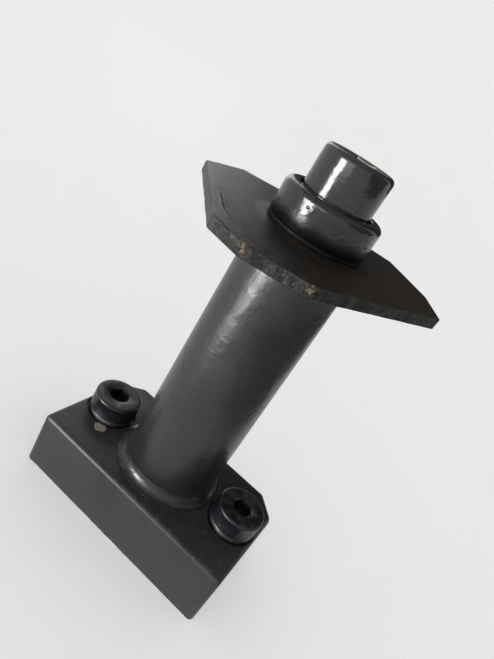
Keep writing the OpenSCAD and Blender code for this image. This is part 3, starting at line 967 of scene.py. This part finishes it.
# The near-black colour here is painted shade at the collar's foot
under = shader.inputs["Base Color"].links[0].from_socket
tree.links.new(blended(tree, collar_foot_shade, under, (0.0015, 0.0012, 0.001, 1)),
               shader.inputs["Base Color"])
under = shader.inputs["Roughness"].links[0].from_socket
tree.links.new(plus(tree, under, times(tree, collar_foot_shade, 0.3)), shader.inputs["Roughness"])
tree.links.new(faded(tree, collar_foot_shade, 0.0, 1.0, 0.5, 0.06), shader.inputs["Specular IOR Level"])
collar.data.materials.append(gloss_enamel)
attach(collar, "collar")
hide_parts("clamp_collar")


# Clamp screw
# A big cap screw with a tall head and a hexagon socket, its head enamelled with the
# collar, its shank down in the head plug.
clamp_low, clamp_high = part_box("clamp_screw")
clamp_r = 0.005
clamp_head_round = 0.0012
clamp_key = 0.008
clamp_key_depth = 0.005
clamp = socket_screw("gloss_clamp_screw", clamp_low.z, clamp_r, washer_high.z, clamp_high.x,
                     clamp_high.z, clamp_head_round, clamp_key, clamp_key_depth, 0)
smooth(clamp)
head_enamel, tree, shader = enamel(
    "head_enamel", (0.0115, 0.0122, 0.013), (0.0165, 0.0175, 0.0185), 0.1,
    {"Peel Height": 0.000004, "Ripple Height": 0.00006, "Ripple Scale": 520.0,
     "Nib Height": 0.00004, "Nib Share": 0.2}, 0.1)
# The socket was plugged for painting, and the key has rubbed the end face round it bare
at = put(tree, "TexCoord", {}).outputs["Object"]
spot = put(tree, "SeparateXYZ", {0: at}).outputs
on_axis = put(tree, "CombineXYZ", {0: spot["X"], 1: spot["Y"]}).outputs[0]
out = put(tree, "VectorMath", {0: on_axis}, operation="LENGTH").outputs["Value"]
plug_r = 0.0048
plug_edge_r = 0.0058
rubbed_r = 0.0074
inside = times(tree, faded(tree, out, plug_edge_r, plug_r),
               faded(tree, spot["Z"], washer_high.z, washer_high.z + 0.001))
rubbed = times(tree, faded(tree, spot["Z"], clamp_high.z - 0.0004, clamp_high.z - 0.0001),
               faded(tree, out, rubbed_r, plug_edge_r))
bare(tree, shader, put(tree, "Math", {0: inside, 1: chipped(tree, rubbed, 700.0, 0.75)},
                       operation="MAXIMUM").outputs[0], (0.24, 0.225, 0.205), 0.45)
clamp.data.materials.append(head_enamel)
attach(clamp, "clamp_screw")
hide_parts("clamp_screw")


# Inner pieces
# The turned, ground and plated pieces inside, and the rubber seal in the block's bore.
# They keep the shape they have in the frame and only get their materials here.
def dress(node, material):
    """Puts the material on every face of a piece of the frame."""
    for place in frame["nodes"][node].material_slots:
        place.material = material


ground_steel = plated("ground_steel", (0.42, 0.42, 0.42), (0.58, 0.58, 0.57), 0.28, 1800.0,
                      0.000004)
sole_steel = plated("sole_steel", (0.20, 0.20, 0.20), (0.34, 0.33, 0.32), 0.38, 1500.0,
                    0.000006)
bearing_bronze = plated("bearing_bronze", (0.50, 0.33, 0.13), (0.66, 0.46, 0.20), 0.3, 1800.0,
                        0.000004)
spring_wire = plated("spring_wire", (0.22, 0.23, 0.25), (0.34, 0.35, 0.37), 0.3, 2400.0,
                     0.000002)
seal_rubber, tree, shader = new_material("seal_rubber")
at = put(tree, "TexCoord", {}).outputs["Object"]
bloom = put(tree, "TexNoise", {"Vector": at, "Scale": 700.0, "Detail": 5.0}).outputs["Fac"]
tree.links.new(blended(tree, bloom, (0.012, 0.012, 0.012, 1), (0.03, 0.03, 0.028, 1)),
               shader.inputs["Base Color"])
tree.links.new(faded(tree, bloom, 0.3, 0.7, 0.55, 0.75), shader.inputs["Roughness"])
for node in ("sole_dowels", "foot_flange", "head_plug", "head_washer", "collar_pin"):
    dress(node, ground_steel)
dress("sole_plate", sole_steel)
for node in ("friction_ring", "plate_bush"):
    dress(node, bearing_bronze)
for node in ("release_spring", "spring_seat"):
    dress(node, spring_wire)
dress("column_seal", seal_rubber)
